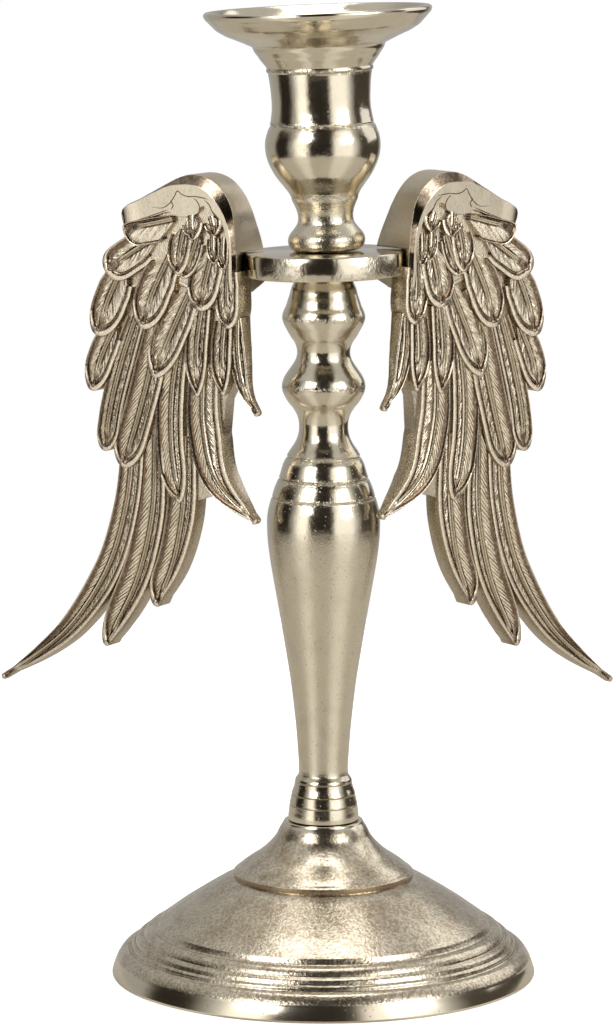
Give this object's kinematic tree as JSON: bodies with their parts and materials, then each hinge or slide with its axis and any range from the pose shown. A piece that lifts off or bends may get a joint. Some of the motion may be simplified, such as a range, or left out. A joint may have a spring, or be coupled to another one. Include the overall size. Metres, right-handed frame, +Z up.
{
  "type": "candlestick",
  "caption": "Metal candlestick on a stepped round foot, with a turned column, a ring that carries feathered wings, and a candle cup with a wide drip pan.",
  "frame": {"origin": "centre of the round foot, on the plane that it stands on", "axes": "+Z up along the column; the front, towards which the carved faces of the wings look, is -Y; +X to the right as seen from the front"},
  "size_m": [0.1625, 0.1106, 0.2521],
  "materials": {
    "base": "nickel-plated cast metal, warm grey",
    "stem": "nickel-plated cast metal, warm grey",
    "wing_ring": "nickel-plated cast metal, warm grey",
    "candle_cup": "nickel-plated cast metal, warm grey",
    "wing_left": "nickel-plated cast metal, warm grey",
    "wing_right": "nickel-plated cast metal, warm grey",
    "pin_left": "plain steel, out of sight",
    "pin_right": "plain steel, out of sight",
    "top_stud": "plain steel, out of sight",
    "base_rod": "plain steel, out of sight",
    "base_washer": "plain steel, out of sight",
    "base_nut": "plain steel, out of sight"
  },
  "bodies": {
    "root": {"base": "base", "stem": "stem", "wing_ring": "wing_ring", "candle_cup": "candle_cup", "wing_left": "wing_left", "wing_right": "wing_right", "pin_left": "pin_left", "pin_right": "pin_right", "top_stud": "top_stud", "base_rod": "base_rod", "base_washer": "base_washer", "base_nut": "base_nut"}
  },
  "joints": []
}
